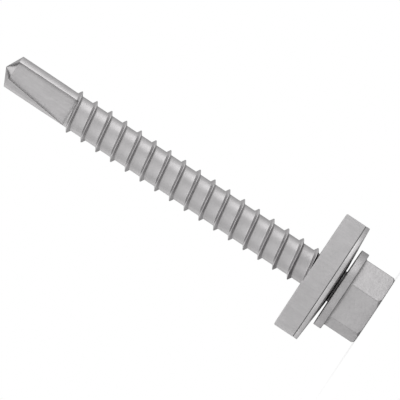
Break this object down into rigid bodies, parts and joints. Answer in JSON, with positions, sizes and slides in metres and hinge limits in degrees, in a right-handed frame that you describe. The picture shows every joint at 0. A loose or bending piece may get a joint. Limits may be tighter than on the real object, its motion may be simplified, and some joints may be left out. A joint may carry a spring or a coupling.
{
  "type": "self drilling screw",
  "caption": "Hex washer head self drilling screw with a coarse thread, a fluted drill point and a loose metal and rubber sealing washer under its flange.",
  "frame": {"origin": "centre of the hex head's flat top, on which the screw stands", "axes": "+Z along the screw's axis from the head to the drill point; +X is the side that faces the upper right in the picture, and the picture looks along +Y"},
  "size_m": [0.019, 0.019, 0.0635],
  "materials": {
    "screw_steel": "zinc plated carbon steel, dull grey, with forging and rolling marks",
    "washer_metal": "galvanised sheet steel, satin grey",
    "seal_rubber": "matt mid-grey moulded rubber"
  },
  "bodies": {
    "screw": {"screw": "screw_steel"},
    "washer": {"washer_plate": "washer_metal", "washer_seal": "seal_rubber"}
  },
  "joints": [
    {"name": "washer_spin", "type": "hinge", "parent": "screw", "child": "washer", "pos_m": [0, 0, 0.0077], "axis": [0, 0, 1], "continuous": true}
  ]
}
